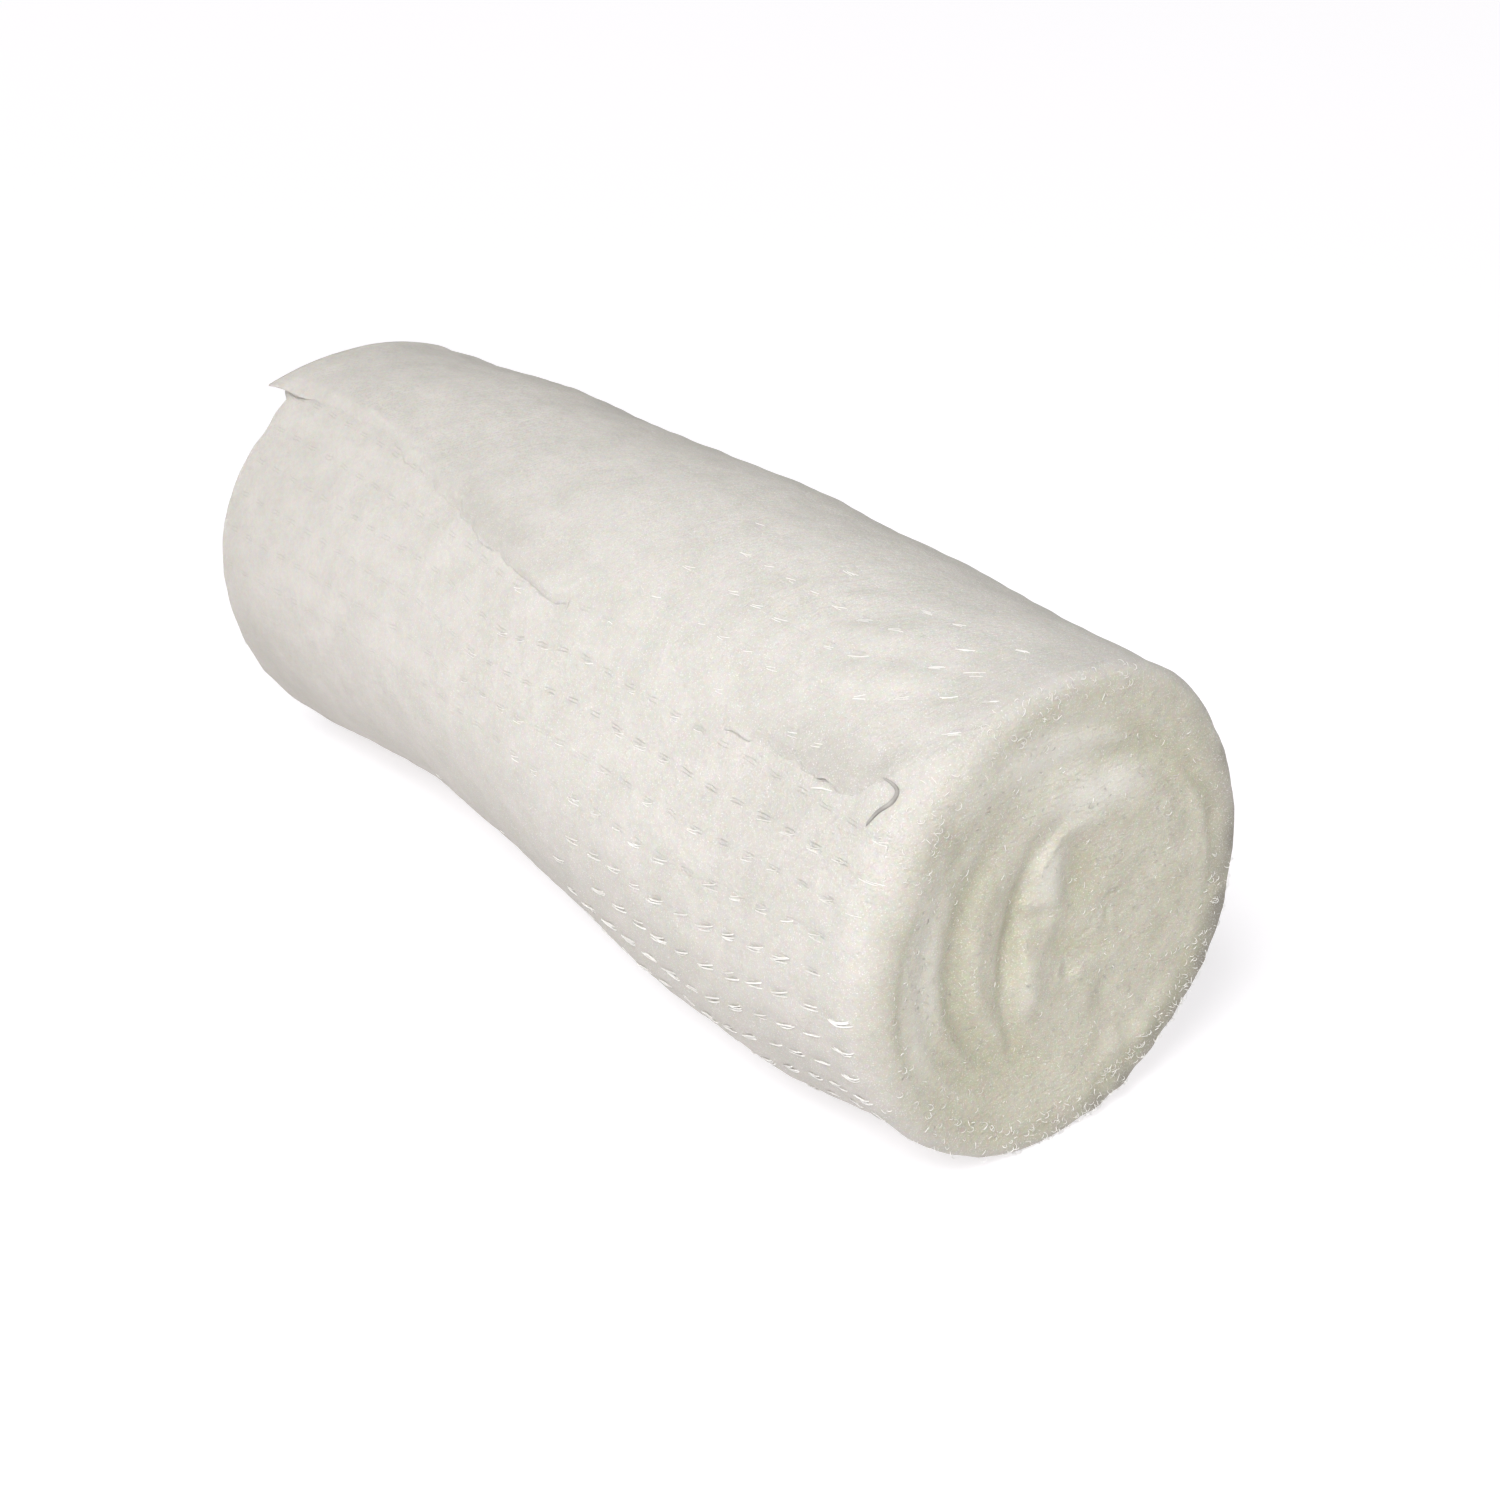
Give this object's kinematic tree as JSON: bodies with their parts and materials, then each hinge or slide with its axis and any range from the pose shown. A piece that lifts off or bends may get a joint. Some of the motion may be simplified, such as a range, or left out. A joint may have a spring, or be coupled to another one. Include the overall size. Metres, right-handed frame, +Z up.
{
  "type": "gauze bandage roll",
  "caption": "Soft roll of white knitted gauze bandage on its side, its turns showing as a spiral at each end and its cut end lying loose along the top.",
  "frame": {"origin": "bottom centre of the whole: the middle of the box in X and Y, at the surface that the roll rests on", "axes": "+X along the roll's axis towards the end whose turns stand furthest apart, +Z up, +Y to the back, away from the cut edge"},
  "size_m": [0.1028, 0.0424, 0.0426],
  "materials": {
    "gauze": "soft white knitted gauze, matt, with fine shiny threads"
  },
  "bodies": {
    "root": {"wound_roll": "gauze", "loose_end": "gauze"}
  },
  "joints": []
}
